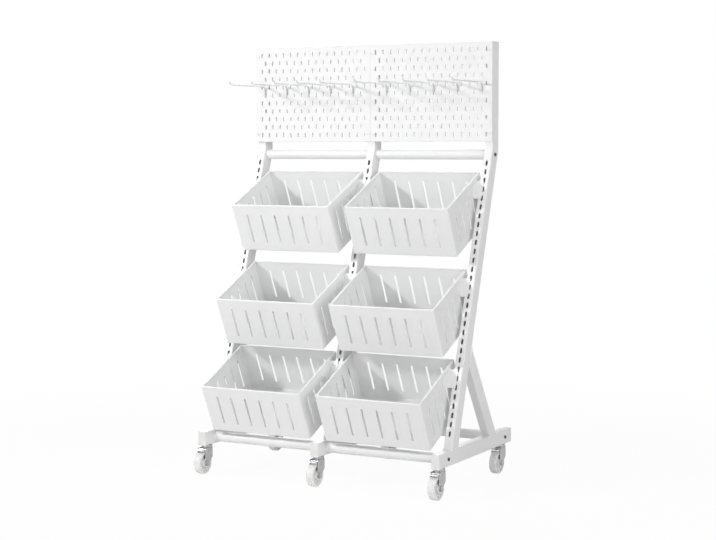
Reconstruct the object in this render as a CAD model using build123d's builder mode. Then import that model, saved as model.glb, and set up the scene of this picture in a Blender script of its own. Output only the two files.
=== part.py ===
from build123d import *
from math import cos, radians, sin, sqrt, tan
import os

# Snack display rack on casters. Three slotted side frames are joined by round cross tubes,
# two peg panels with wire hooks close the top, and six tilted baskets hang in the slots.
# Millimetres, X to the right, Y to the back, Z up. The origin lies on the floor under the
# middle of the rack.

os.makedirs("parts", exist_ok=True)

# Side frames: rectangular tube for feet, uprights and braces
frame_pitch = 365.0
tube_width = 25.0
tube_depth = 40.0
tube_wall = 1.5
tube_corner = 3.0
foot_length = 470.0
upright_setback = 74.0
upright_lean = 18.0
upright_height = 1205.0
bend_radius = 80.0
brace_setback = 342.0
brace_height = 356.0

# End caps of the tubes
cap_flange = 3.0
cap_plug = 12.0
cap_fit = 0.1
cap_round = 1.2

# Slots in the uprights
slot_pitch = 25.0
slot_length = 15.0
slot_width = 6.0
lowest_slot = 43.0
slot_head_room = 20.0

# Cross tubes and their fasteners
rail_diameter = 28.0
rail_wall = 1.5
rail_plug = 16.0
front_rail_setback = 54.0
rear_rail_setback = 44.0
top_rail_height = 897.0
bend_over_rail = 18.0
bolt_diameter = 6.0
bolt_head_diameter = 10.5
bolt_head_height = 3.3
bolt_socket = 4.0
bolt_grip = 12.0
bolt_head_round = 1.0
bolt_fit = 0.05

# Peg panels, their slots and their screws
panel_board = 6.0
panel_edge_round = 1.5
panel_over_bend = 18.0
panel_seam = 0.5
peg_pitch = 24.5
peg_row_step = 23.2
peg_slot_length = 13.0
peg_slot_width = 5.0
peg_margin = 12.0
peg_row_margin = 18.0
screw_diameter = 4.0
screw_grip = 10.0
screw_head_diameter = 8.0
screw_head_height = 1.6
screw_edge = 8.0
screw_fit = 0.05

# Wire hooks
wire_diameter = 4.5
hook_reach = 194.0
hook_leg = 22.0
hook_slot_bend = 3.0
hook_bend = 15.0
hook_tip_run = 10.0
hook_tip_rise = 9.0
hook_tip_bend = 8.0
hook_tail = 20.0
hook_every = 3
hook_end_round = 1.6
hook_fit = 0.25

# Baskets
basket_depth = 227.0
basket_height = 144.5
basket_tilt = 24.8
basket_sheet = 1.5
basket_bend = 4.0
basket_side_gap = 12.0
basket_inset = 18.6
basket_rise = 29.5
hem_width = 6.0
rear_hem_width = 3.0
hem_height = 3.0
hem_round = 1.4
wall_slot_width = 6.0
wall_slot_top = 29.0
wall_slot_bottom = 26.0
front_slots = 6
side_slots = 5
lower_slot = 7
upper_slot_from_top = 2

# Hanger plates of the baskets
hanger_sheet = 2.0
hanger_height = 51.0
hanger_reach = 36.0
hanger_gap = 0.2
hanger_top = 1.3
hanger_under_rim = 8.0
tongue_offset = 0.6
tongue_neck = 4.0
tongue_drop = 6.0
tongue_gap = 0.3

# Casters
wheel_diameter = 63.0
wheel_width = 21.0
wheel_crown = 3.0
wheel_rim = 8.0
wheel_web = 8.0
hub_diameter = 24.0
hub_length = 24.4
wheel_edge_round = 0.8
axle_diameter = 8.0
axle_fit = 0.05
axle_head_diameter = 14.0
axle_head = 4.0
front_caster_inset = 26.0
rear_caster_inset = 51.0
caster_trail = 22.0
fork_inner = 25.0
fork_sheet = 2.5
fork_head = 6.0
fork_head_diameter = 32.0
fork_room = 5.0
fork_skirt = 28.0
fork_rear = 7.0
fork_eye = 18.0
fork_round = 1.0
race_gap = 0.3
race_height = 5.7
race_diameter = 30.0
kingpin_diameter = 10.0
kingpin_head_diameter = 16.0
kingpin_head = 3.0
kingpin_fit = 0.05
stem_thread = 10.0
weld_nut_diameter = 17.0
weld_nut_height = 8.0
pedal_sheet = 2.5
pedal_width = 23.0
pedal_reach = 41.0
pedal_pivot_trail = 21.0
pedal_room = 5.0
pedal_knuckle = 7.0
pedal_pin = 3.5
pedal_pin_fit = 0.05
pedal_ear = 10.0
pedal_corner = 4.0
pedal_round = 0.8
shoe_start = 4.0
shoe_length = 6.0
shoe_clearance = 1.0

# Heights above the floor that follow from the casters
fork_head_bottom = wheel_diameter + fork_room
fork_top = fork_head_bottom + fork_head
foot_bottom = fork_top + race_gap + race_height
foot_middle = foot_bottom + tube_depth / 2
foot_top = foot_bottom + tube_depth

# The uprights bend just over the top cross tubes, and the peg panels fill the height above the bend
bend_height = top_rail_height + bend_over_rail
panel_bottom = bend_height + panel_over_bend
panel_height = upright_height - panel_bottom

# Slots of the leaning part, counted from the lowest one, and the baskets' places in them
lean_sin = sin(radians(upright_lean))
lean_cos = cos(radians(upright_lean))
lean_tan = tan(radians(upright_lean))
bend_start = (bend_height - foot_top) / lean_cos - bend_radius * tan(radians(upright_lean / 2))
slot_count = int((bend_start - lowest_slot - slot_head_room) // slot_pitch) + 1
upper_slot = slot_count - 1 - upper_slot_from_top
middle_slot = (lower_slot + upper_slot) // 2
tiers = {
    "upper": lowest_slot + upper_slot * slot_pitch,
    "middle": lowest_slot + middle_slot * slot_pitch,
    "lower": lowest_slot + lower_slot * slot_pitch,
}
frames = {"left": -frame_pitch, "centre": 0.0, "right": frame_pitch}
bays = {"left": -frame_pitch / 2, "right": frame_pitch / 2}
basket_width = frame_pitch - tube_width - 2 * basket_side_gap

# The rack's length is centred on the origin
basket_front = (
    upright_setback
    + (tiers["lower"] + basket_rise) * lean_sin
    + basket_inset * lean_cos
    - basket_depth * cos(radians(basket_tilt))
)
wheel_sweep = caster_trail + wheel_diameter / 2
rack_front = min(0, basket_front, front_caster_inset - max(wheel_sweep, pedal_reach))
rack_rear = max(foot_length, foot_length - rear_caster_inset + max(wheel_sweep, pedal_reach))
foot_front = -(rack_front + rack_rear) / 2
foot_rear = foot_front + foot_length
upright_foot = foot_front + upright_setback
upright_face = upright_foot + (bend_height - foot_top) * lean_tan
panel_front = upright_face - panel_board


def on_slotted_face(x, along, out=0.0):
    """Point on the leaning front of an upright, `along` it from the foot and `out` in front of it."""
    y = upright_foot + along * lean_sin - out * lean_cos
    z = foot_top + along * lean_cos + out * lean_sin
    return (x, y, z)


def slotted_face(x):
    """Plane of an upright's leaning front: local Y runs up the upright, the normal points out."""
    return Plane(origin=on_slotted_face(x, 0), x_dir=(1, 0, 0), z_dir=(0, -lean_cos, lean_sin))


def side_plane(x, along):
    """Upright plane across X: local X points out of the slotted face, local Y up the upright."""
    return Plane(origin=on_slotted_face(x, along), x_dir=(0, -lean_cos, lean_sin), z_dir=(-1, 0, 0))


def tube_section():
    """Hollow section of the side frames' tube."""
    RectangleRounded(tube_width, tube_depth, tube_corner)
    inner_corner = max(tube_corner - tube_wall, tube_corner / 10)
    RectangleRounded(
        tube_width - 2 * tube_wall, tube_depth - 2 * tube_wall, inner_corner, mode=Mode.SUBTRACT
    )


def save(piece, name):
    """Name a finished sub-part and write it as a node."""
    piece.part.label = name
    export_step(piece.part, f"parts/{name}.step")


# Places of the cross tubes in the side view: (Y, Z) of their axes
centre_line_foot = upright_foot + tube_depth / 2 / lean_cos
rails = {
    "front": (foot_front + front_rail_setback, foot_middle),
    "rear": (foot_rear - rear_rail_setback, foot_middle),
    "top": (centre_line_foot + (top_rail_height - foot_top) * lean_tan, top_rail_height),
}
caster_rows = {"front": foot_front + front_caster_inset, "rear": foot_rear - rear_caster_inset}

# Places of the peg panels' screws, beside the peg slots and clear of the caps' plugs
screw_inset = cap_flange + cap_plug + screw_edge
screw_rows = (panel_bottom + screw_inset, upright_height - screw_inset)
screw_columns = [hand * (x + tube_width / 4) for hand in (-1, 1) for x in (0, frame_pitch)]
screw_places = [(x, z) for x in screw_columns for z in screw_rows]

# Feet, with holes for the cross tubes' bolts and weld nuts for the casters
for side, x in frames.items():
    with BuildPart() as foot:
        with BuildSketch(Plane((x, foot_front + cap_flange, foot_middle), x_dir=(1, 0, 0), z_dir=(0, 1, 0))):
            tube_section()
        extrude(amount=foot_length - 2 * cap_flange)
        with BuildSketch(Plane.YZ.offset(x)):
            with Locations(rails["front"], rails["rear"]):
                Circle(bolt_diameter / 2 + bolt_fit)
        extrude(amount=tube_width, both=True, mode=Mode.SUBTRACT)
        with BuildSketch(Plane.XY.offset(foot_bottom + tube_wall)):
            with Locations(*[(x, y) for y in caster_rows.values()]):
                Circle(weld_nut_diameter / 2)
        extrude(amount=weld_nut_height)
        with BuildSketch(Plane.XY.offset(foot_bottom)):
            with Locations(*[(x, y) for y in caster_rows.values()]):
                Circle(stem_thread / 2 + bolt_fit)
        extrude(amount=tube_wall + weld_nut_height, mode=Mode.SUBTRACT)
    save(foot, f"foot_{side}")

# Uprights: bent tube, cut off level on the foot, slotted in front
for side, x in frames.items():
    with BuildPart() as upright:
        bend_line = upright_face + tube_depth / 2
        bend_at = foot_top + (bend_line - centre_line_foot) / lean_tan
        below = foot_top - tube_depth
        with BuildLine() as centre_line:
            FilletPolyline(
                (x, centre_line_foot + (below - foot_top) * lean_tan, below),
                (x, bend_line, bend_at),
                (x, bend_line, upright_height - cap_flange),
                radius=bend_radius,
            )
        lower_end = Plane(centre_line.line @ 0, x_dir=(1, 0, 0), z_dir=centre_line.line % 0)
        with BuildSketch(lower_end):
            tube_section()
        sweep()
        split(bisect_by=Plane.XY.offset(foot_top), keep=Keep.TOP)
        with BuildSketch(slotted_face(x)):
            with Locations(*[(0, lowest_slot + i * slot_pitch) for i in range(slot_count)]):
                SlotOverall(slot_length, slot_width, rotation=90)
        extrude(amount=-2 * tube_wall, mode=Mode.SUBTRACT)
        with BuildSketch(Plane.YZ.offset(x)):
            with Locations(rails["top"]):
                Circle(bolt_diameter / 2 + bolt_fit)
        extrude(amount=tube_width, both=True, mode=Mode.SUBTRACT)
        with BuildSketch(Plane.XZ.offset(-upright_face)):
            with Locations(*[place for place in screw_places if abs(place[0] - x) < tube_width / 2]):
                Circle(screw_diameter / 2 + screw_fit)
        extrude(amount=-2 * tube_wall, mode=Mode.SUBTRACT)
    save(upright, f"upright_{side}")

# Braces from the feet to the backs of the uprights
brace_foot = foot_front + brace_setback
brace_head = upright_foot + tube_depth / lean_cos + (brace_height - foot_top) * lean_tan
for side, x in frames.items():
    with BuildPart() as brace:
        direction = Vector(0, brace_head - brace_foot, brace_height - foot_top)
        overrun = direction.normalized() * tube_depth
        start = Vector(x, brace_foot, foot_top) - overrun
        with BuildSketch(Plane(start, x_dir=(1, 0, 0), z_dir=direction)):
            tube_section()
        extrude(amount=direction.length + 3 * tube_depth)
        split(bisect_by=Plane.XY.offset(foot_top), keep=Keep.TOP)
        split(bisect_by=slotted_face(x).offset(-tube_depth), keep=Keep.BOTTOM)
    save(brace, f"brace_{side}")

# Plastic caps in the open ends of the feet and the uprights
with BuildPart() as cap_shape:
    with BuildSketch():
        RectangleRounded(tube_width, tube_depth, tube_corner)
    extrude(amount=cap_flange)
    fillet(cap_shape.faces().sort_by(Axis.Z)[-1].edges(), cap_round)
    with BuildSketch():
        inner = 2 * (tube_wall + cap_fit)
        plug_corner = max(tube_corner - tube_wall, tube_corner / 10)
        RectangleRounded(tube_width - inner, tube_depth - inner, plug_corner)
    extrude(amount=-cap_plug)

cap_places = []
for x in frames.values():
    cap_places.append(Plane((x, foot_front + cap_flange, foot_middle), x_dir=(1, 0, 0), z_dir=(0, -1, 0)))
    cap_places.append(Plane((x, foot_rear - cap_flange, foot_middle), x_dir=(1, 0, 0), z_dir=(0, 1, 0)))
    cap_places.append(Plane((x, upright_face + tube_depth / 2, upright_height - cap_flange)))
with BuildPart(*cap_places) as tube_caps:
    add(cap_shape.part)
save(tube_caps, "tube_caps")

# Cross tubes with a tapped plug in each end
rail_length = frame_pitch - tube_width
for place, (y, z) in rails.items():
    for bay, x in bays.items():
        with BuildPart() as rail:
            rail_end = Plane((x - rail_length / 2, y, z), x_dir=(0, 1, 0), z_dir=(1, 0, 0))
            with BuildSketch(rail_end):
                Circle(rail_diameter / 2)
                Circle(bolt_diameter / 2 + bolt_fit, mode=Mode.SUBTRACT)
            extrude(amount=rail_length)
            with BuildSketch(rail_end.offset(rail_plug)):
                Circle(rail_diameter / 2 - rail_wall)
            extrude(amount=rail_length - 2 * rail_plug, mode=Mode.SUBTRACT)
        save(rail, f"{place}_rail_{bay}")

# Button-head bolts through the outer frames, and studs through the centre frame
with BuildPart() as bolt_shape:
    with BuildSketch():
        Circle(bolt_head_diameter / 2)
    extrude(amount=bolt_head_height, taper=20)
    fillet(bolt_shape.faces().sort_by(Axis.Z)[-1].edges(), bolt_head_round)
    with BuildSketch(Plane.XY.offset(bolt_head_height)):
        RegularPolygon(bolt_socket / 2, 6, major_radius=False)
    extrude(amount=-0.6 * bolt_head_height, mode=Mode.SUBTRACT)
    with BuildSketch():
        Circle(bolt_diameter / 2)
    extrude(amount=-(tube_width + bolt_grip))

with BuildPart() as frame_bolts:
    for y, z in rails.values():
        for hand in (-1, 1):
            head_seat = Plane(
                (hand * (frame_pitch + tube_width / 2), y, z), x_dir=(0, 1, 0), z_dir=(hand, 0, 0)
            )
            add(head_seat * bolt_shape.part)
        with BuildSketch(Plane((0, y, z), x_dir=(0, 1, 0), z_dir=(1, 0, 0))):
            Circle(bolt_diameter / 2)
        extrude(amount=tube_width / 2 + bolt_grip, both=True)
save(frame_bolts, "frame_bolts")

# Peg panels: thick boards with slots in staggered rows, screwed flat on the uprights
panel_width = frame_pitch + tube_width / 2 - panel_seam / 2
columns = int((panel_width - 2 * peg_margin) // peg_pitch) + 1
rows = int((panel_height - 2 * peg_row_margin) // peg_row_step) + 1
panel_middle = panel_bottom + panel_height / 2
hook_row = 2 * (rows // 4) + 1


def panel_centre(bay):
    """X of the middle of a panel."""
    hand = 1 if bays[bay] > 0 else -1
    return hand * (panel_seam + panel_width) / 2


def peg_x(bay, row, column):
    """X of a peg slot; every second row is shifted by half a pitch."""
    count = columns - row % 2
    return panel_centre(bay) + (column - (count - 1) / 2) * peg_pitch


def peg_z(row):
    """Z of the middle of a row of peg slots."""
    return panel_middle + (row - (rows - 1) / 2) * peg_row_step


for bay, x in bays.items():
    with BuildPart() as panel:
        with BuildSketch(Plane.XZ.offset(-upright_face)):
            with Locations((panel_centre(bay), panel_middle)):
                Rectangle(panel_width, panel_height)
        extrude(amount=panel_board)
        fillet(panel.faces().sort_by(Axis.Y)[0].edges().filter_by(Axis.X), panel_edge_round)
        with BuildSketch(Plane.XZ.offset(-upright_face)):
            pegs = [(peg_x(bay, r, c), peg_z(r)) for r in range(rows) for c in range(columns - r % 2)]
            with Locations(*pegs):
                SlotOverall(peg_slot_length, peg_slot_width, rotation=90)
            with Locations(*[place for place in screw_places if place[0] * x > 0]):
                Circle(screw_diameter / 2 + screw_fit)
        extrude(amount=panel_board, mode=Mode.SUBTRACT)
    save(panel, f"peg_panel_{bay}")

# Pan-head screws of the panels
with BuildPart() as panel_screws:
    with BuildSketch(Plane.XZ.offset(-panel_front)):
        with Locations(*screw_places):
            Circle(screw_head_diameter / 2)
    extrude(amount=screw_head_height, taper=25)
    with BuildSketch(Plane.XZ.offset(-panel_front)):
        with Locations(*screw_places):
            Circle(screw_diameter / 2)
    extrude(amount=-(panel_board + screw_grip))
save(panel_screws, "panel_screws")

# Wire hooks: a tail behind the panel, a leg up its front, a long arm and an upturned tip
wire_radius = wire_diameter / 2
first_hook = {"left": 0, "right": 1}
for bay in bays:
    with BuildPart() as hooks:
        through_z = peg_z(hook_row) + peg_slot_length / 2 - peg_slot_width / 2
        behind = upright_face + hook_fit + wire_radius
        before = panel_front - hook_fit - wire_radius
        arm_z = through_z + hook_leg
        tip_y = before - hook_reach
        for column in range(first_hook[bay], columns - 1, hook_every):
            x = peg_x(bay, hook_row, column)
            with BuildLine() as wire:
                FilletPolyline(
                    (x, behind, through_z + hook_tail),
                    (x, behind, through_z),
                    (x, before, through_z),
                    (x, before, arm_z),
                    (x, tip_y + hook_tip_run, arm_z),
                    (x, tip_y, arm_z + hook_tip_rise),
                    radius=(hook_slot_bend, hook_slot_bend, hook_bend, hook_tip_bend),
                )
            with BuildSketch(Plane(wire.line @ 0, z_dir=wire.line % 0)):
                Circle(wire_radius)
            sweep()
        fillet(hooks.faces().filter_by(GeomType.PLANE).edges(), hook_end_round)
    save(hooks, f"peg_hooks_{bay}")

# Basket, drawn level with its rear rim edge on the origin: folded sheet with an inward flat hem
with BuildPart() as basket_shape:
    with BuildSketch(Plane.XY.offset(-basket_height)):
        with Locations((0, -basket_depth / 2)):
            RectangleRounded(basket_width, basket_depth, basket_bend)
    extrude(amount=basket_height)
    fillet(basket_shape.faces().sort_by(Axis.Z)[0].edges(), basket_bend - basket_sheet / 4)
    offset(amount=-basket_sheet, openings=basket_shape.faces().sort_by(Axis.Z)[-1])
    with BuildSketch():
        with Locations((0, -basket_depth / 2)):
            RectangleRounded(basket_width, basket_depth, basket_bend)
        with Locations((0, (hem_width - rear_hem_width - basket_depth) / 2)):
            RectangleRounded(
                basket_width - 2 * hem_width,
                basket_depth - hem_width - rear_hem_width,
                basket_bend / 2,
                mode=Mode.SUBTRACT,
            )
    extrude(amount=-hem_height)
    fillet(basket_shape.faces().sort_by(Axis.Z)[-1].edges(), hem_round)
    wall_slot = basket_height - wall_slot_top - wall_slot_bottom
    wall_slot_middle = -wall_slot_top - wall_slot / 2
    with BuildSketch(Plane.XZ.offset(-basket_sheet)):
        with Locations((0, wall_slot_middle)):
            with GridLocations(basket_width / (front_slots + 1), 1, front_slots, 1):
                SlotOverall(wall_slot, wall_slot_width, rotation=90)
    extrude(amount=basket_depth + 2 * basket_sheet, mode=Mode.SUBTRACT)
    with BuildSketch(Plane.YZ):
        with Locations((-basket_depth / 2, wall_slot_middle)):
            with GridLocations(basket_depth / (side_slots + 1), 1, side_slots, 1):
                SlotOverall(wall_slot, wall_slot_width, rotation=90)
    extrude(amount=basket_width, both=True, mode=Mode.SUBTRACT)

for tier, along in tiers.items():
    for bay, x in bays.items():
        tilt = radians(basket_tilt)
        rear_rim = Plane(
            on_slotted_face(x, along + basket_rise, -basket_inset),
            x_dir=(1, 0, 0),
            z_dir=(0, -sin(tilt), cos(tilt)),
        )
        with BuildPart(rear_rim) as basket:
            add(basket_shape.part)
        save(basket, f"basket_{tier}_{bay}")

# Hanger plates: a leg on the basket's side, a flange on the upright's face, two tongues in its slots
slope = radians(upright_lean + basket_tilt)
slot_reach = tongue_offset + hanger_sheet
slot_floor = -(slot_length - slot_width) / 2 - sqrt((slot_width / 2) ** 2 - slot_reach**2)
tongue_low = slot_floor + hanger_gap
tongue_back = -(tube_wall + tongue_gap)
hanger_bottom = -hanger_top - hanger_height


def under_rim(out):
    """Height on a hanger's leg just under the basket's rim, `out` in front of the slotted face."""
    rim_over_slot = basket_rise * cos(slope) - basket_inset * sin(slope)
    return (rim_over_slot - hanger_under_rim - out * sin(slope)) / cos(slope)


for tier, along in tiers.items():
    for bay, bay_x in bays.items():
        with BuildPart() as hangers:
            for hand in (-1, 1):
                wall_x = bay_x + hand * basket_width / 2
                slot_x = bay_x + hand * frame_pitch / 2
                tongue_x = slot_x - hand * tongue_offset
                with BuildSketch(side_plane(wall_x, along)):
                    with BuildLine():
                        Polyline(
                            (hanger_gap, min(-hanger_top, under_rim(hanger_gap))),
                            (hanger_gap, hanger_bottom),
                            (hanger_reach, hanger_bottom),
                            (hanger_reach, under_rim(hanger_reach)),
                            close=True,
                        )
                    make_face()
                extrude(amount=-hand * hanger_sheet)
                with BuildSketch(slotted_face(0).offset(hanger_gap)):
                    with Locations(((wall_x + tongue_x) / 2, along + (hanger_bottom - hanger_top) / 2)):
                        Rectangle(abs(tongue_x - wall_x), hanger_height)
                extrude(amount=hanger_sheet)
                for low in (tongue_low, tongue_low - slot_pitch):
                    with BuildSketch(side_plane(tongue_x, along)):
                        with BuildLine():
                            Polyline(
                                (hanger_gap + hanger_sheet, low),
                                (hanger_gap + hanger_sheet, low + tongue_neck),
                                (tongue_back - hanger_sheet, low + tongue_neck),
                                (tongue_back - hanger_sheet, low - tongue_drop),
                                (tongue_back, low - tongue_drop),
                                (tongue_back, low),
                                close=True,
                            )
                        make_face()
                    extrude(amount=hand * hanger_sheet)
        save(hangers, f"hangers_{tier}_{bay}")

# Casters stand on planes at the floor, with the wheel trailing along local -Y
axle_z = wheel_diameter / 2
pedal_z = wheel_diameter + pedal_room
caster_places = {}
for row, y in caster_rows.items():
    for side, x in frames.items():
        facing = -1 if (row, side) == ("rear", "centre") else 1
        caster_places[f"{row}_{side}"] = Plane((x, y, 0), x_dir=(facing, 0, 0), z_dir=(0, 0, 1))

# Stems: thread in the foot, upper race, and the riveted kingpin that carries the fork
with BuildPart() as stem_shape:
    with BuildSketch(Plane.XY.offset(fork_top + race_gap)):
        Circle(race_diameter / 2)
    extrude(amount=race_height)
    with BuildSketch(Plane.XY.offset(foot_bottom)):
        Circle(stem_thread / 2)
    extrude(amount=tube_wall + weld_nut_height)
    with BuildSketch(Plane.XY.offset(fork_head_bottom - race_gap)):
        Circle(kingpin_diameter / 2)
    extrude(amount=fork_head + 2 * race_gap)
    with BuildSketch(Plane.XY.offset(fork_head_bottom - race_gap)):
        Circle(kingpin_head_diameter / 2)
    extrude(amount=-kingpin_head, taper=20)

with BuildPart(*caster_places.values()) as caster_stems:
    add(stem_shape.part)
save(caster_stems, "caster_stems")

# Forks: a bored head and two legs that carry the axle and the pedal's pin
fork_outer = fork_inner + 2 * fork_sheet
with BuildPart() as fork_head_shape:
    with BuildSketch(Plane.XY.offset(fork_head_bottom)):
        Circle(fork_head_diameter / 2)
    extrude(amount=fork_head)
    fillet(fork_head_shape.faces().sort_by(Axis.Z)[-1].edges(), fork_round)

with BuildPart() as fork_shape:
    for hand in (-1, 1):
        with BuildSketch(Plane.YZ.offset(hand * fork_inner / 2)):
            with Locations((-caster_trail, axle_z)):
                Circle(fork_eye / 2)
            with Locations((0, fork_top - fork_skirt / 2)):
                Rectangle(2 * fork_rear, fork_skirt)
            with Locations((-pedal_pivot_trail, pedal_z)):
                Circle(pedal_ear / 2)
            make_hull()
        extrude(amount=hand * fork_sheet)
    fillet(fork_shape.faces().sort_by(Axis.X)[0].edges(), fork_round)
    fillet(fork_shape.faces().sort_by(Axis.X)[-1].edges(), fork_round)
    add(fork_head_shape.part)
    with BuildSketch(Plane.YZ):
        with Locations((-pedal_pivot_trail, pedal_z)):
            Circle(pedal_pin / 2)
    extrude(amount=fork_outer / 2, both=True)
    with BuildSketch(Plane.XY.offset(fork_head_bottom)):
        Circle(kingpin_diameter / 2 + kingpin_fit)
    extrude(amount=fork_head, mode=Mode.SUBTRACT)
    with BuildSketch(Plane.YZ):
        with Locations((-caster_trail, axle_z)):
            Circle(axle_diameter / 2 + axle_fit)
    extrude(amount=fork_outer, both=True, mode=Mode.SUBTRACT)

# Axle bolts: shank, head and nut
with BuildPart() as axle_shape:
    with BuildSketch(Plane.YZ):
        with Locations((-caster_trail, axle_z)):
            Circle(axle_diameter / 2)
    extrude(amount=fork_outer / 2 + axle_head, both=True)
    for hand in (-1, 1):
        with BuildSketch(Plane.YZ.offset(hand * fork_outer / 2)):
            with Locations((-caster_trail, axle_z)):
                RegularPolygon(axle_head_diameter / 2, 6, major_radius=False)
        extrude(amount=hand * axle_head)

# Wheels: crowned tread, thin web and a long hub
with BuildPart() as wheel_shape:
    with BuildSketch(Plane.YZ):
        with Locations((-caster_trail, axle_z)):
            Circle(wheel_diameter / 2)
    extrude(amount=wheel_width / 2, both=True)
    fillet(wheel_shape.edges().filter_by(GeomType.CIRCLE), wheel_crown)
    for hand in (-1, 1):
        with BuildSketch(Plane.YZ.offset(hand * wheel_web / 2)):
            with Locations((-caster_trail, axle_z)):
                Circle(wheel_diameter / 2 - wheel_rim)
        extrude(amount=hand * wheel_width, mode=Mode.SUBTRACT)
    with BuildSketch(Plane.YZ):
        with Locations((-caster_trail, axle_z)):
            Circle(hub_diameter / 2)
    extrude(amount=hub_length / 2, both=True)
    moulded = [round(radius, 3) for radius in (wheel_diameter / 2 - wheel_rim, hub_diameter / 2)]
    rings = wheel_shape.edges().filter_by(GeomType.CIRCLE)
    fillet([ring for ring in rings if round(ring.radius, 3) in moulded], wheel_edge_round)
    with BuildSketch(Plane.YZ):
        with Locations((-caster_trail, axle_z)):
            Circle(axle_diameter / 2 + axle_fit)
    extrude(amount=hub_length, both=True, mode=Mode.SUBTRACT)

# Brake pedals: a knuckle on the fork's pin, a flat plate over the wheel and the shoe under it
with BuildPart() as pedal_shape:
    with BuildSketch(Plane.XY.offset(pedal_z - pedal_sheet / 2)) as plate:
        with Locations((0, -(pedal_reach + pedal_pivot_trail) / 2)):
            Rectangle(pedal_width, pedal_reach - pedal_pivot_trail)
        fillet(plate.vertices().group_by(Axis.Y)[0], pedal_corner)
    extrude(amount=pedal_sheet)
    fillet(pedal_shape.faces().sort_by(Axis.Z)[-1].edges(), pedal_round)
    with BuildSketch(Plane.XY.offset(wheel_diameter + shoe_clearance)):
        with Locations((0, -pedal_pivot_trail - shoe_start - shoe_length / 2)):
            Rectangle(pedal_width, shoe_length)
    extrude(amount=pedal_room - shoe_clearance)
    with BuildSketch(Plane.YZ):
        with Locations((-pedal_pivot_trail, pedal_z)):
            Circle(pedal_knuckle / 2)
    extrude(amount=pedal_width / 2, both=True)
    with BuildSketch(Plane.YZ):
        with Locations((-pedal_pivot_trail, pedal_z)):
            Circle(pedal_pin / 2 + pedal_pin_fit)
    extrude(amount=pedal_width, both=True, mode=Mode.SUBTRACT)

caster_shapes = {"fork": fork_shape, "axle": axle_shape, "wheel": wheel_shape, "pedal": pedal_shape}
for corner, place in caster_places.items():
    for name, shape in caster_shapes.items():
        with BuildPart(place) as piece:
            add(shape.part)
        save(piece, f"{name}_{corner}")
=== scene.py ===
# %% [markdown]
# # A snack display rack on casters
# This lesson dresses a finished CAD model in Blender. The solids already have the right
# sizes and joints, so nothing here is moved or scaled. We add the photograph's camera, a
# soft studio, the paint and metal finishes, and the small forms that a CAD solid leaves
# out: moulded wheels, weld beads and crossed screw heads.

# %% Load the rack
import math

import bmesh
import bpy
from mathutils import Matrix, Vector


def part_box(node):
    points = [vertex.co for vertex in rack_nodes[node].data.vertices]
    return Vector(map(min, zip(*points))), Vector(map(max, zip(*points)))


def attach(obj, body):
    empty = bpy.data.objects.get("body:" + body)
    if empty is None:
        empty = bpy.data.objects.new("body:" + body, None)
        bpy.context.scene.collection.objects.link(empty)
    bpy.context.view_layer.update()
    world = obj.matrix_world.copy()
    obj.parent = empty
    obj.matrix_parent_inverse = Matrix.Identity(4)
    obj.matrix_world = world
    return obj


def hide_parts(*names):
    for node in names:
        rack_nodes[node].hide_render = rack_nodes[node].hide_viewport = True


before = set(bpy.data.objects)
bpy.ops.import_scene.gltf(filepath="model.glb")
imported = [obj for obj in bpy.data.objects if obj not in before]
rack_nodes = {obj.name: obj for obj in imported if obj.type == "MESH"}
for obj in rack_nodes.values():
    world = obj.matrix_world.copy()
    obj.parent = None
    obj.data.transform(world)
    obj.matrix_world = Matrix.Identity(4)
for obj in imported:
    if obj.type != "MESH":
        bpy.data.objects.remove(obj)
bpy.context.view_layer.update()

scene = bpy.context.scene

# %% [markdown]
# ## The camera
# The photograph was taken from the front and a little to the right, from about waist
# height, with a long lens: the far frame is only slightly smaller than the near one.
# A camera can be placed by eye, but here its place was worked out from known points of
# the rack in the photograph, so that edges fall within a pixel or two of where they were.
# The picture is 716 by 540 pixels, and the optical axis goes through its middle, so no lens
# shift is needed.

# %% Place the camera
CAMERA_PLACE = Vector((2.18834, -3.97862, 0.92867))
CAMERA_AIM = Vector((0.02841, -0.01730, 0.57663))
CAMERA_ROLL = -0.115  # degrees
CAMERA_LENS = 81.67  # millimetres, on the sensor below
CAMERA_SENSOR = 36.0

lens = bpy.data.cameras.new("photo_lens")
lens.lens = CAMERA_LENS
lens.sensor_width = CAMERA_SENSOR
camera = bpy.data.objects.new("photo_camera", lens)
scene.collection.objects.link(camera)
camera.location = CAMERA_PLACE
camera.rotation_euler = (CAMERA_AIM - CAMERA_PLACE).to_track_quat("-Z", "Y").to_euler()
camera.rotation_euler.rotate_axis("Z", math.radians(CAMERA_ROLL))
scene.camera = camera
print("camera", round((CAMERA_AIM - CAMERA_PLACE).length, 2), "m from the rack")

# %% [markdown]
# ## The studio
# White goods are shot against white with broad, soft lamps. In the photograph each basket's
# left wall throws a clear shadow on its back wall and the hooks throw theirs down to the
# right, so one small key lamp stands at the front left. The walls lean forward and
# still look bright, so much light must come from low in front, as it does from a white
# floor: a wide, low lamp stands in for it. One lamp at the right lights the side faces,
# one overhead draws the rims, and one at the back left lights the rear. From there it misses
# the slot walls that the camera sees, so the slots stay grey. The camera, and reflections in
# metal, see plain white.

# %% Soft lamps
scene.view_settings.view_transform = "Standard"


def soft_lamp(name, place, aim, size, power, beam=180.0):
    """A square soft box aimed at a spot on the rack: its side in metres, watts, beam in degrees."""
    lamp = bpy.data.lights.new(name, "AREA")
    lamp.shape = "SQUARE"
    lamp.size = size
    lamp.energy = power
    lamp.spread = math.radians(beam)
    stand = bpy.data.objects.new(name, lamp)
    scene.collection.objects.link(stand)
    stand.location = place
    stand.rotation_euler = (Vector(aim) - Vector(place)).to_track_quat("-Z", "Y").to_euler()
    return stand


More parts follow.
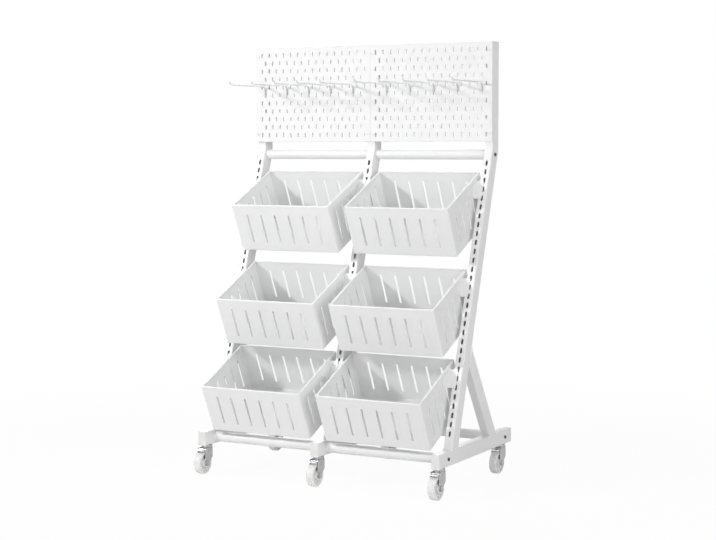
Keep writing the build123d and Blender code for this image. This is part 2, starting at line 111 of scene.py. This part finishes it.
RACK_MIDDLE = (0.0, 0.0, 0.65)
UPPER_BASKETS = (0.0, -0.05, 0.68)
lamps = [
    soft_lamp("key_lamp", (-2.0, -2.2, 1.86), UPPER_BASKETS, size=0.35, power=7.9, beam=70.0),
    soft_lamp("low_front_lamp", (0.0, -4.0, 0.72), RACK_MIDDLE, size=1.4, power=27.4),
    soft_lamp("side_lamp", (3.6, -1.5, 1.6), RACK_MIDDLE, size=2.0, power=61),
    soft_lamp("top_lamp", (0.0, -0.4, 3.8), RACK_MIDDLE, size=3.0, power=49),
    soft_lamp("back_lamp", (-2.4, 3.0, 1.7), RACK_MIDDLE, size=2.4, power=66),
]
print("lamps:", [lamp.name for lamp in lamps])

# %% White room
ROOM_LIGHT = 0.05
PLAIN_WHITE = (1.0, 1.0, 1.0, 1.0)


def seen_directly(tree):
    """1 where the camera, a reflection or a clear material looks, 0 for light that spreads."""
    path = tree.nodes.new("ShaderNodeLightPath")
    seen = path.outputs["Is Camera Ray"]
    for other in ("Is Glossy Ray", "Is Transmission Ray"):
        either = tree.nodes.new("ShaderNodeMath")
        either.operation = "MAXIMUM"
        tree.links.new(seen, either.inputs[0])
        tree.links.new(path.outputs[other], either.inputs[1])
        seen = either.outputs[0]
    return seen


world = bpy.data.worlds.new("white_room")
scene.world = world
world.use_nodes = True
room = world.node_tree
room_light = room.nodes["Background"]
room_light.inputs["Color"].default_value = PLAIN_WHITE
room_light.inputs["Strength"].default_value = ROOM_LIGHT
backdrop = room.nodes.new("ShaderNodeBackground")
backdrop.inputs["Color"].default_value = PLAIN_WHITE
backdrop.inputs["Strength"].default_value = 1.0
choice = room.nodes.new("ShaderNodeMixShader")
room.links.new(seen_directly(room), choice.inputs["Fac"])
room.links.new(room_light.outputs[0], choice.inputs[1])
room.links.new(backdrop.outputs[0], choice.inputs[2])
room.links.new(choice.outputs[0], room.nodes["World Output"].inputs["Surface"])
print("room light", ROOM_LIGHT)

# %% [markdown]
# ## The floor
# The photograph's floor has been bleached to white. A plain pale plane is enough, but a
# lamp bright enough to bleach it would also burn out the rack. So the floor keeps its own
# pale paint for all the light that bounces, and where the camera looks most of it is
# replaced by plain white. What is left still carries the soft shadow under the wheels.
# Further out, where the lamps no longer reach, the floor fades to white altogether.

# %% Pale floor
FLOOR_SIDE = 40.0
FLOOR_BLEACH = 0.95
SHADOW_REACH = (0.9, 2.2)  # metres from the middle where the floor's fade starts and ends
FLOOR_PAINT = (0.88, 0.88, 0.87, 1.0)
FLOOR_ROUGHNESS, FLOOR_SHINE = 0.9, 0.1

floor_mesh = bpy.data.meshes.new("studio_floor")
half = FLOOR_SIDE / 2
floor_corners = [(-half, -half, 0.0), (half, -half, 0.0), (half, half, 0.0), (-half, half, 0.0)]
floor_mesh.from_pydata(floor_corners, [], [(0, 1, 2, 3)])
floor = bpy.data.objects.new("studio_floor", floor_mesh)
scene.collection.objects.link(floor)

floor_paint = bpy.data.materials.new("pale_floor")
floor_paint.use_nodes = True
floor_tree = floor_paint.node_tree
matt = floor_tree.nodes["Principled BSDF"]
matt.inputs["Base Color"].default_value = FLOOR_PAINT
matt.inputs["Roughness"].default_value = FLOOR_ROUGHNESS
matt.inputs["Specular IOR Level"].default_value = FLOOR_SHINE
white = floor_tree.nodes.new("ShaderNodeEmission")
white.inputs["Strength"].default_value = 1.0
distance = floor_tree.nodes.new("ShaderNodeVectorMath")
distance.operation = "LENGTH"
floor_place = floor_tree.nodes.new("ShaderNodeTexCoord")
floor_tree.links.new(floor_place.outputs["Object"], distance.inputs[0])
fade = floor_tree.nodes.new("ShaderNodeMapRange")
fade.interpolation_type = "SMOOTHSTEP"
fade.inputs["From Min"].default_value = SHADOW_REACH[0]
fade.inputs["From Max"].default_value = SHADOW_REACH[1]
fade.inputs["To Min"].default_value = FLOOR_BLEACH
floor_tree.links.new(distance.outputs["Value"], fade.inputs["Value"])
bleach = floor_tree.nodes.new("ShaderNodeMath")
bleach.operation = "MULTIPLY"
floor_tree.links.new(seen_directly(floor_tree), bleach.inputs[0])
floor_tree.links.new(fade.outputs["Result"], bleach.inputs[1])
floor_mix = floor_tree.nodes.new("ShaderNodeMixShader")
floor_tree.links.new(bleach.outputs[0], floor_mix.inputs["Fac"])
floor_tree.links.new(matt.outputs[0], floor_mix.inputs[1])
floor_tree.links.new(white.outputs[0], floor_mix.inputs[2])
floor_tree.links.new(floor_mix.outputs[0], floor_tree.nodes["Material Output"].inputs["Surface"])
floor_mesh.materials.append(floor_paint)
print("floor", FLOOR_SIDE, "m square")

# %% [markdown]
# ## Tools for the finishes
# Every finish below is a small tree of nodes around one Principled shader. The patterns
# read Object coordinates, which are metres measured on the piece itself, so a speck of
# orange peel has its real size and stays put when a basket lifts or a wheel turns.

# %% Node tools
def new_finish(name):
    """An empty finish: its material, its node tree and its shader."""
    finish = bpy.data.materials.new(name)
    finish.use_nodes = True
    return finish, finish.node_tree, finish.node_tree.nodes["Principled BSDF"]


def on_piece(tree):
    """Coordinates in metres on the piece itself."""
    return tree.nodes.new("ShaderNodeTexCoord").outputs["Object"]


def mottle(tree, place, scale, detail, roughness=0.5):
    """A cloudy pattern; scale counts its blotches per metre."""
    noise = tree.nodes.new("ShaderNodeTexNoise")
    noise.inputs["Scale"].default_value = scale
    noise.inputs["Detail"].default_value = detail
    noise.inputs["Roughness"].default_value = roughness
    tree.links.new(place, noise.inputs["Vector"])
    return noise.outputs["Fac"]


def spread(tree, value, low, high, from_low=0.3, from_high=0.7):
    """Stretch a pattern from one range of numbers to another."""
    stretch = tree.nodes.new("ShaderNodeMapRange")
    ends = {"From Min": from_low, "From Max": from_high, "To Min": low, "To Max": high}
    for socket, number in ends.items():
        stretch.inputs[socket].default_value = number
    tree.links.new(value, stretch.inputs["Value"])
    return stretch.outputs["Result"]


def blotches(tree, place, scale, detail, low=0.0, high=1.0, roughness=0.5, from_low=0.3, from_high=0.7):
    """A cloudy pattern that runs from low to high."""
    return spread(tree, mottle(tree, place, scale, detail, roughness), low, high, from_low, from_high)


def times(tree, first, second):
    """Product of two patterns."""
    product = tree.nodes.new("ShaderNodeMath")
    product.operation = "MULTIPLY"
    tree.links.new(first, product.inputs[0])
    tree.links.new(second, product.inputs[1])
    return product.outputs[0]


def tint(tree, amount, bare, covered):
    """Blend two colours, each a plain triple or another pattern's output."""
    blend = tree.nodes.new("ShaderNodeMix")
    blend.data_type = "RGBA"
    tree.links.new(amount, blend.inputs["Factor"])
    for socket, colour in ((blend.inputs[6], bare), (blend.inputs[7], covered)):
        if isinstance(colour, tuple):
            socket.default_value = (*colour, 1.0)
        else:
            tree.links.new(colour, socket)
    return blend.outputs[2]


def dimple(tree, height, depth, strength, under=None):
    """Bump from a pattern; depth is in metres. It can ride on another normal."""
    bump = tree.nodes.new("ShaderNodeBump")
    bump.inputs["Distance"].default_value = depth
    bump.inputs["Strength"].default_value = strength
    tree.links.new(height, bump.inputs["Height"])
    if under is not None:
        tree.links.new(under, bump.inputs["Normal"])
    return bump.outputs["Normal"]


def dress(tree, shader, colour, roughness, normal):
    """Plug a finish's three patterns into its shader."""
    tree.links.new(colour, shader.inputs["Base Color"])
    tree.links.new(roughness, shader.inputs["Roughness"])
    tree.links.new(normal, shader.inputs["Normal"])


print("node tools ready")

# %% [markdown]
# ## White powder coat
# The frame and the baskets are sprayed with dry powder and baked. The film is white and
# half glossy, with a fine orange-peel ripple. It draws back from sharp edges, where
# handling rubs it first. The ripple is a bump. For the edges, the Bevel node compares the
# surface with a rounded copy of itself: where the two differ there is an edge, and the
# same rounded normal gives the sheet its soft rim of light.

# %% Powder coat
COAT_WHITE = (0.900, 0.901, 0.902)
COAT_DRIFT = (0.870, 0.872, 0.875)
RUBBED_EDGE = (0.50, 0.505, 0.515)
FOLDED_EDGE = 0.0008  # radius in metres
ORANGE_PEEL = 0.00012  # depth in metres
EDGE_SAMPLES = 4
ALIKE_ON_EDGE, ALIKE_ON_FLAT = 0.80, 0.99  # how alike the two normals are, 1 for the same


def edges_of(tree, radius):
    """Rounded normal, and a mask that is 1 along the piece's edges."""
    rounded = tree.nodes.new("ShaderNodeBevel")
    rounded.samples = EDGE_SAMPLES
    rounded.inputs["Radius"].default_value = radius
    flat = tree.nodes.new("ShaderNodeNewGeometry")
    alike = tree.nodes.new("ShaderNodeVectorMath")
    alike.operation = "DOT_PRODUCT"
    tree.links.new(rounded.outputs["Normal"], alike.inputs[0])
    tree.links.new(flat.outputs["Normal"], alike.inputs[1])
    edge = spread(tree, alike.outputs["Value"], 1.0, 0.0, ALIKE_ON_EDGE, ALIKE_ON_FLAT)
    return rounded.outputs["Normal"], edge


def powder_coat(name, rubbing):
    """White baked powder; rubbing, from 0 to 1, lets steel show in patches along its edges."""
    finish, tree, shader = new_finish(name)
    place = on_piece(tree)
    film = tint(tree, blotches(tree, place, scale=4.0, detail=4.0), COAT_WHITE, COAT_DRIFT)
    rounded, edge = edges_of(tree, FOLDED_EDGE)
    patches = blotches(
        tree, place, scale=60.0, detail=3.0, low=0.0, high=rubbing, from_low=0.5, from_high=0.75
    )
    peel = mottle(tree, place, scale=430.0, detail=1.0)
    dress(
        tree,
        shader,
        colour=tint(tree, times(tree, edge, patches), film, RUBBED_EDGE),
        roughness=blotches(tree, place, scale=30.0, detail=3.0, low=0.33, high=0.47),
        normal=dimple(tree, peel, ORANGE_PEEL, strength=0.5, under=rounded),
    )
    return finish


frame_coat = powder_coat("frame_powder_coat", rubbing=0.35)
basket_coat = powder_coat("basket_powder_coat", rubbing=0.20)
print("powder coats:", frame_coat.name, basket_coat.name)

# %% [markdown]
# ## Peg boards
# The peg panels are thick white boards, and that is why their slots look grey: from the
# side the eye meets a slot's own wall, where little light comes in. So the slots need no
# dark paint. The board is duller than the steel, with a fine grain, and its edges are eased.

# %% Board finish
BOARD_WHITE, BOARD_DRIFT = (0.888, 0.889, 0.890), (0.866, 0.867, 0.868)
BOARD_EDGE = 0.0005  # radius in metres
BOARD_GRAIN = 0.00006  # depth in metres
board_white, tree, shader = new_finish("peg_board_white")
place = on_piece(tree)
eased = edges_of(tree, BOARD_EDGE)[0]
grain = mottle(tree, place, scale=950.0, detail=2.0)
dress(
    tree,
    shader,
    colour=tint(tree, blotches(tree, place, scale=6.0, detail=4.0), BOARD_WHITE, BOARD_DRIFT),
    roughness=blotches(tree, place, scale=40.0, detail=3.0, low=0.46, high=0.58),
    normal=dimple(tree, grain, BOARD_GRAIN, strength=0.5, under=eased),
)
print("board finish:", board_white.name)

# %% [markdown]
# ## Coated hook wire and plastic caps
# The hooks have the same white coat as the frame, but on round wire it flows smoother and
# shines a little more. Close to the board the wire is painted a darker grey, in patches.
# The end caps are moulded plastic: duller, and finely grained by the mould.

# %% Wire coat and cap plastic
DARKER_WIRE_REACH = (0.014, 0.006)  # metres in front of the board where the painted darker grey starts and is full
WIRE_WHITE, WIRE_DRIFT = (0.90, 0.902, 0.905), (0.855, 0.858, 0.865)
DARKER_WIRE_GREY = (0.52, 0.525, 0.535)
WIRE_RIPPLE = 0.00008  # depth in metres
wire_coat, tree, shader = new_finish("hook_wire_coat")
place = on_piece(tree)
coat = tint(tree, blotches(tree, place, scale=18.0, detail=3.0), WIRE_WHITE, WIRE_DRIFT)
where = tree.nodes.new("ShaderNodeSeparateXYZ")
tree.links.new(place, where.inputs[0])
board_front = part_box("peg_panel_left")[0].y
darker_starts, darker_full = [board_front - gap for gap in DARKER_WIRE_REACH]
# The wire is painted a darker grey close to the board, in patches.
near_board = spread(tree, where.outputs["Y"], 0.0, 1.0, darker_starts, darker_full)
darkened = times(tree, near_board, blotches(tree, place, scale=160.0, detail=3.0, low=0.6, high=1.0))
dress(
    tree,
    shader,
    colour=tint(tree, darkened, coat, DARKER_WIRE_GREY),
    roughness=blotches(tree, place, scale=90.0, detail=2.0, low=0.24, high=0.36),
    normal=dimple(tree, mottle(tree, place, scale=260.0, detail=1.0), WIRE_RIPPLE, strength=0.4),
)

CAP_WHITE, CAP_DRIFT = (0.85, 0.85, 0.845), (0.80, 0.80, 0.793)
CAP_GRAIN = 0.00006  # depth in metres
cap_plastic, tree, shader = new_finish("cap_plastic_grained")
place = on_piece(tree)
dress(
    tree,
    shader,
    colour=tint(tree, blotches(tree, place, scale=35.0, detail=3.0), CAP_WHITE, CAP_DRIFT),
    roughness=blotches(tree, place, scale=150.0, detail=2.0, low=0.46, high=0.60),
    normal=dimple(tree, mottle(tree, place, scale=1500.0, detail=1.0), CAP_GRAIN, strength=0.6),
)
print("wire and cap finishes:", wire_coat.name, cap_plastic.name)

# %% [markdown]
# ## Metal of the casters and bolts
# The forks, axles and stems are steel with a dull zinc plating, and the pedals have
# a lighter, brighter zinc. The bolts are black oxide. Plating is never even, so colour and
# roughness both follow cloudy patterns, and the rounded edges are polished by handling.

# %% Plated and blackened steel
PLATED_EDGE = 0.0006  # radius in metres
PLATING_GRAIN = 0.00004  # depth in metres


def plated_steel(name, bright, dull, polish, rough):
    """Metal with a cloudy plating; polish colours its handled edges, rough is its roughness range."""
    finish, tree, shader = new_finish(name)
    place = on_piece(tree)
    cloud = blotches(tree, place, scale=130.0, detail=5.0, roughness=0.65)
    rounded, edge = edges_of(tree, PLATED_EDGE)
    touched = blotches(
        tree, place, scale=220.0, detail=2.0, low=0.1, high=0.7, from_low=0.35, from_high=0.65
    )
    handled = times(tree, edge, touched)
    grain = mottle(tree, place, scale=900.0, detail=2.0)
    shader.inputs["Metallic"].default_value = 1.0
    dress(
        tree,
        shader,
        colour=tint(tree, handled, tint(tree, cloud, bright, dull), polish),
        roughness=blotches(tree, place, scale=80.0, detail=4.0, low=rough[0], high=rough[1]),
        normal=dimple(tree, grain, PLATING_GRAIN, strength=0.5, under=rounded),
    )
    return finish


fork_zinc = plated_steel(
    "fork_zinc",
    bright=(0.50, 0.50, 0.51),
    dull=(0.36, 0.36, 0.37),
    polish=(0.66, 0.66, 0.67),
    rough=(0.30, 0.48),
)
pedal_zinc = plated_steel(
    "pedal_zinc",
    bright=(0.84, 0.84, 0.85),
    dull=(0.70, 0.70, 0.71),
    polish=(0.90, 0.90, 0.91),
    rough=(0.26, 0.42),
)
bolt_black = plated_steel(
    "bolt_black",
    bright=(0.10, 0.10, 0.105),
    dull=(0.05, 0.05, 0.055),
    polish=(0.30, 0.30, 0.31),
    rough=(0.32, 0.5),
)
print("metals:", fork_zinc.name, pedal_zinc.name, bolt_black.name)

# %% [markdown]
# ## Dress the CAD pieces
# A CAD piece whose shape is right only needs a better finish. Each one names the finish it
# should have, so the new material goes straight into that place. The baskets and hangers
# are white too, but get a coat that is less rubbed than the frame's.

# %% Hand out the finishes
finishes = {
    "white_paint": frame_coat,
    "peg_board": board_white,
    "hook_wire": wire_coat,
    "cap_plastic": cap_plastic,
    "dark_steel": bolt_black,
    "zinc": fork_zinc,
    "pedal_steel": pedal_zinc,
}
dressed = 0
for name, piece in rack_nodes.items():
    for held in piece.material_slots:
        wanted = held.material.name.split(".")[0]
        if name.startswith(("basket_", "hangers_")):
            held.material = basket_coat
        elif wanted in finishes:
            held.material = finishes[wanted]
        else:
            continue
        dressed += 1
print("dressed", dressed, "CAD pieces")

# %% [markdown]
# ## Moulded wheels
# Each caster wheel is one moulding of white nylon: a crowned tread with a fine parting line
# from the mould, a deep web stiffened by ribs, and a long hub that fills the fork. A wheel
# could be cut from cylinders, but its rounded profile is easier to draw once and turn round
# the axle, as on a lathe. All six share that one mesh.

# %% Wheel nylon
NYLON_WHITE, NYLON_DRIFT = (0.89, 0.89, 0.885), (0.85, 0.85, 0.845)
NYLON_SCUFF = (0.50, 0.495, 0.485)
SCUFFED_TREAD = (0.0302, 0.0314)  # metres from the axle where the scuffs start and are full
NYLON_GRAIN = 0.00006  # depth in metres
NYLON_GLOW, GLOW_REACH = 0.05, 0.002  # share of light that enters, and how far it goes in metres
wheel_nylon, tree, shader = new_finish("wheel_nylon")
place = on_piece(tree)
across = tree.nodes.new("ShaderNodeVectorMath")
across.operation = "MULTIPLY"
across.inputs[1].default_value = (0.0, 1.0, 1.0)
tree.links.new(place, across.inputs[0])
from_axle = tree.nodes.new("ShaderNodeVectorMath")
from_axle.operation = "LENGTH"
tree.links.new(across.outputs[0], from_axle.inputs[0])
tread = spread(tree, from_axle.outputs["Value"], 0.0, 1.0, *SCUFFED_TREAD)
grime = blotches(
    tree, place, scale=240.0, detail=5.0, low=0.02, high=0.17, roughness=0.7, from_low=0.45, from_high=0.65
)
nylon = tint(tree, blotches(tree, place, scale=45.0, detail=3.0), NYLON_WHITE, NYLON_DRIFT)
dress(
    tree,
    shader,
    colour=tint(tree, times(tree, tread, grime), nylon, NYLON_SCUFF),
    roughness=blotches(tree, place, scale=120.0, detail=2.0, low=0.36, high=0.5),
    normal=dimple(tree, mottle(tree, place, scale=700.0, detail=2.0), NYLON_GRAIN, strength=0.6),
)
shader.inputs["Subsurface Weight"].default_value = NYLON_GLOW
shader.inputs["Subsurface Radius"].default_value = (GLOW_REACH, GLOW_REACH, GLOW_REACH)
print("wheel finish:", wheel_nylon.name)

# %% Turn the wheel
WHEEL_OUTLINE = [  # distance from the axle and from the wheel's middle, in millimetres
    (4.05, 11.9), (4.4, 12.2), (11.2, 12.2), (11.75, 11.95), (12.0, 11.4), (12.25, 5.0), (12.6, 4.25),
    (13.4, 4.0), (22.3, 4.0), (23.1, 4.3), (23.4, 5.0), (23.6, 9.7), (23.85, 10.25), (24.4, 10.5),
    (28.5, 10.5), (29.65, 10.27), (30.6, 9.6), (31.2, 8.6), (31.42, 7.3), (31.5, 4.0), (31.5, 0.45),
    (31.28, 0.2),
]
TURN_STEPS = 72


def turned(mesh, outline, steps):
    """Spin a closed outline of (radius, along) points round the X axis."""
    rings = []
    for step in range(steps):
        angle = 2 * math.pi * step / steps
        rings.append([mesh.verts.new((x, r * math.sin(angle), r * math.cos(angle))) for r, x in outline])
    count = len(outline)
    for step in range(steps):
        here, there = rings[step], rings[(step + 1) % steps]
        for i in range(count):
            j = (i + 1) % count
            mesh.faces.new((here[i], here[j], there[j], there[i]))
    bmesh.ops.recalc_face_normals(mesh, faces=mesh.faces)


def finished_mesh(mesh, name, finish, sharp=32.0):
    """Turn a working mesh into a smooth-shaded one with one finish."""
    data = bpy.data.meshes.new(name)
    mesh.to_mesh(data)
    mesh.free()
    data.shade_smooth()
    data.set_sharp_from_angle(angle=math.radians(sharp))
    data.materials.append(finish)
    return data


outer_half = [(r / 1000, x / 1000) for r, x in WHEEL_OUTLINE]
work = bmesh.new()
turned(work, outer_half + [(r, -x) for r, x in reversed(outer_half)], TURN_STEPS)

RIBS = 8  # on each side, and the two sides are staggered
RIB_LONG, RIB_WIDE, RIB_DEEP, RIB_ROUND = 0.0116, 0.0020, 0.0042, 0.0005
RIB_OUT, RIB_FROM_AXLE = 0.0056, 0.0178
for side, stagger in ((-1, 0.0), (1, 0.5)):
    for k in range(RIBS):
        rib = bmesh.ops.create_cube(work, size=1.0)["verts"]
        bmesh.ops.scale(work, vec=(RIB_DEEP, RIB_WIDE, RIB_LONG), verts=rib)
        edges = list({edge for vert in rib for edge in vert.link_edges})
        made = bmesh.ops.bevel(work, geom=edges, offset=RIB_ROUND, segments=2, affect="EDGES")
        corners = list({vert for face in made["faces"] for vert in face.verts})
        bmesh.ops.translate(work, vec=(side * RIB_OUT, 0.0, RIB_FROM_AXLE), verts=corners)
        turn = Matrix.Rotation(2 * math.pi * (k + stagger) / RIBS, 3, "X")
        bmesh.ops.rotate(work, cent=(0, 0, 0), matrix=turn, verts=corners)
wheel_mesh = finished_mesh(work, "caster_wheel", wheel_nylon)
print("one wheel:", len(wheel_mesh.vertices), "points")

# %% Set the six wheels
corners_of_rack = [f"{row}_{side}" for row in ("front", "rear") for side in ("left", "centre", "right")]
for corner in corners_of_rack:
    low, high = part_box(f"wheel_{corner}")
    wheel = bpy.data.objects.new(f"moulded_wheel_{corner}", wheel_mesh)
    scene.collection.objects.link(wheel)
    wheel.location = (low + high) / 2
    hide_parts(f"wheel_{corner}")
    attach(wheel, f"wheel_{corner}")
print("wheels set:", len(corners_of_rack))

# %% [markdown]
# ## Weld beads
# The upright and the brace stand on the foot, and the brace leans on the upright; each of
# these joints is welded all round before painting, so the bead is white too. A bead could
# be a plain round curve, but a real one is a row of overlapping ripples. So it is built
# ring by ring along the outline of the joint, and the rings swell and shrink a little.

# %% Find the welded joints
BEAD = 0.0021  # radius in metres
RIPPLE = 0.0019  # length of one ripple in metres
LEAN = math.radians(18.0)  # of the uprights
NEAR_PLANE = 0.0002  # metres from the end face
up_the_upright = Vector((0.0, math.sin(LEAN), math.cos(LEAN)))
out_of_upright = Vector((0.0, -math.cos(LEAN), math.sin(LEAN)))


def joint_frame(node, along, side, facing):
    """Middle, half width and half length of the end of a tube that lies on a plane."""
    points = [vert.co.copy() for vert in rack_nodes[node].data.vertices]
    plane = max(point.dot(facing) for point in points)
    end = [point for point in points if point.dot(facing) > plane - NEAR_PLANE]
    reach = []
    for axis in (side, along):
        spans = [point.dot(axis) for point in end]
        reach.append((min(spans), max(spans)))
    middle = side * sum(reach[0]) / 2 + along * sum(reach[1]) / 2 + facing * plane
    return middle, (reach[0][1] - reach[0][0]) / 2, (reach[1][1] - reach[1][0]) / 2


across_rack, back, down = Vector((1, 0, 0)), Vector((0, 1, 0)), Vector((0, 0, -1))
welds = []
for side in ("left", "centre", "right"):
    welds.append((*joint_frame(f"upright_{side}", back, across_rack, down), across_rack, back, down))
    welds.append((*joint_frame(f"brace_{side}", back, across_rack, down), across_rack, back, down))
    head = joint_frame(f"brace_{side}", up_the_upright, across_rack, out_of_upright)
    welds.append((*head, across_rack, up_the_upright, out_of_upright))
first_size = [round(v * 1000, 1) for v in welds[0][1:3]]
print("welded joints:", len(welds), "first half sizes in mm:", first_size)

# %% Lay the beads
TUBE_CORNER = 0.003  # radius in metres
CORNER_STEPS = 8
RINGS_PER_RIPPLE = 4
RING = 8  # points in one ring
SWELL, WANDER = 0.10, 0.07  # shares of the bead's radius
WANDER_TURN = 61.0  # radians per metre


def around(half_wide, half_long, step):
    """Points and outward directions round a tube's outline, a step apart."""
    places = []
    for quarter in range(4):
        turn = Matrix.Rotation(math.pi / 2 * quarter, 2)
        wide, long = (half_wide, half_long) if quarter % 2 == 0 else (half_long, half_wide)
        corner = Vector((wide - TUBE_CORNER, long - TUBE_CORNER))
        straight = 2 * (long - TUBE_CORNER)
        count = max(1, int(straight / step))
        for i in range(count):
            at = -corner.y + straight * i / count
            places.append((turn @ Vector((wide, at)), turn @ Vector((1.0, 0.0))))
        for i in range(CORNER_STEPS):
            angle = math.pi / 2 * i / CORNER_STEPS
            out = Vector((math.cos(angle), math.sin(angle)))
            places.append((turn @ (corner + out * TUBE_CORNER), turn @ out))
    return places


work = bmesh.new()
for number, (middle, half_wide, half_long, side, along, facing) in enumerate(welds):
    rings, travelled, before = [], 0.0, None
    for at, out in around(half_wide, half_long, RIPPLE / RINGS_PER_RIPPLE):
        travelled += (at - before).length if before else 0.0
        before = at
        ripple = SWELL * math.sin(2 * math.pi * travelled / RIPPLE)
        thick = BEAD * (1.0 + ripple + WANDER * math.sin(WANDER_TURN * travelled + number))
        spot = middle + side * at.x + along * at.y
        outward = side * out.x + along * out.y
        ring = []
        for k in range(RING):
            angle = 2 * math.pi * k / RING
            spoke = outward * math.cos(angle) + facing * math.sin(angle)
            ring.append(work.verts.new(spot + spoke * thick))
        rings.append(ring)
    for i, ring in enumerate(rings):
        after = rings[(i + 1) % len(rings)]
        for k in range(RING):
            m = (k + 1) % RING
            work.faces.new((ring[k], ring[m], after[m], after[k]))
bmesh.ops.recalc_face_normals(work, faces=work.faces)
bead_mesh = finished_mesh(work, "weld_beads", frame_coat, sharp=60.0)
beads = bpy.data.objects.new("weld_beads", bead_mesh)
scene.collection.objects.link(beads)
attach(beads, "frame")
print("weld beads:", len(bead_mesh.vertices), "points")

# %% [markdown]
# ## Crossed screw heads
# Four small pan-head screws hold each peg panel, and they are white to match it. A head
# could be turned like the wheel and its cross cut out afterwards. But seen from the middle
# of the head, the edge of a cross is just a distance that changes with the angle. So
# one net of spokes gives both: its inner rings follow the cross, its outer rings the head.

# %% Make one screw
HEAD_WIDE, HEAD_TALL, SHANK_WIDE = 0.0080, 0.0016, 0.0040
HEAD_FLAT = 0.0060
CROSS_LONG, CROSS_WIDE, CROSS_DEEP = 0.0024, 0.0010, 0.0011
CROSS_TAPER = 0.7  # the recess's floor against its mouth
ROUND_SHARE = 0.75  # the rounding's height against the head's
SPOKES_PER_ARM, ROUND_STEPS = 10, 5
arm_corner = math.atan(CROSS_WIDE / 2 / CROSS_LONG)
between_arms = math.pi / 2 - 2 * arm_corner
steps_between = SPOKES_PER_ARM - 2
one_arm = [-arm_corner, 0.0]
one_arm += [arm_corner + between_arms * i / steps_between for i in range(steps_between)]
spokes = [angle + math.pi / 2 * arm for arm in range(4) for angle in one_arm]


def cross_edge(angle):
    """Distance from the middle of a head to the edge of its cross."""
    from_arm = abs((angle + math.pi / 4) % (math.pi / 2) - math.pi / 4)
    return min(CROSS_LONG / math.cos(from_arm), CROSS_WIDE / 2 / max(math.sin(from_arm), 1e-6))


def screw_rings(angle, shank_long):
    """Distances from the axis and heights over the seat along a spoke, from the recess to the tip."""
    edge = cross_edge(angle)
    rings = [(edge * CROSS_TAPER, HEAD_TALL - CROSS_DEEP), (edge, HEAD_TALL), (HEAD_FLAT / 2, HEAD_TALL)]
    round_wide, round_tall = (HEAD_WIDE - HEAD_FLAT) / 2, HEAD_TALL * ROUND_SHARE
    for i in range(1, ROUND_STEPS + 1):
        turn = math.pi / 2 * i / ROUND_STEPS
        wide = HEAD_FLAT / 2 + round_wide * math.sin(turn)
        rings.append((wide, HEAD_TALL - round_tall * (1 - math.cos(turn))))
    return rings + [(HEAD_WIDE / 2, 0.0), (SHANK_WIDE / 2, 0.0), (SHANK_WIDE / 2, -shank_long)]


print("spokes in a screw head:", len(spokes))

# %% Drive the eight screws
SCREW_FROM_MIDDLE = 0.00625  # metres, a quarter of the upright's width
TURN_A_SCREW = 0.7  # radians by which each cross is turned against the last
low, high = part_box("panel_screws")
seat = low.y + HEAD_TALL
columns = (low.x + HEAD_WIDE / 2, -SCREW_FROM_MIDDLE, SCREW_FROM_MIDDLE, high.x - HEAD_WIDE / 2)
rows = (low.z + HEAD_WIDE / 2, high.z - HEAD_WIDE / 2)
work = bmesh.new()
for number, (x, z) in enumerate((x, z) for x in columns for z in rows):
    driven = TURN_A_SCREW * number
    lines = []
    for angle in spokes:
        line = screw_rings(angle, high.y - seat)
        way = (math.cos(angle + driven), math.sin(angle + driven))
        lines.append([work.verts.new((x + r * way[0], seat - h, z + r * way[1])) for r, h in line])
    for line, beside in zip(lines, lines[1:] + lines[:1]):
        for i in range(len(line) - 1):
            work.faces.new((line[i], line[i + 1], beside[i + 1], beside[i]))
    work.faces.new([line[0] for line in lines])
    work.faces.new([line[-1] for line in lines])
bmesh.ops.recalc_face_normals(work, faces=work.faces)
screw_mesh = finished_mesh(work, "crossed_screws", frame_coat, sharp=40.0)
screws = bpy.data.objects.new("crossed_screws", screw_mesh)
scene.collection.objects.link(screws)
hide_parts("panel_screws")
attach(screws, "frame")
print("screws driven:", len(columns) * len(rows))
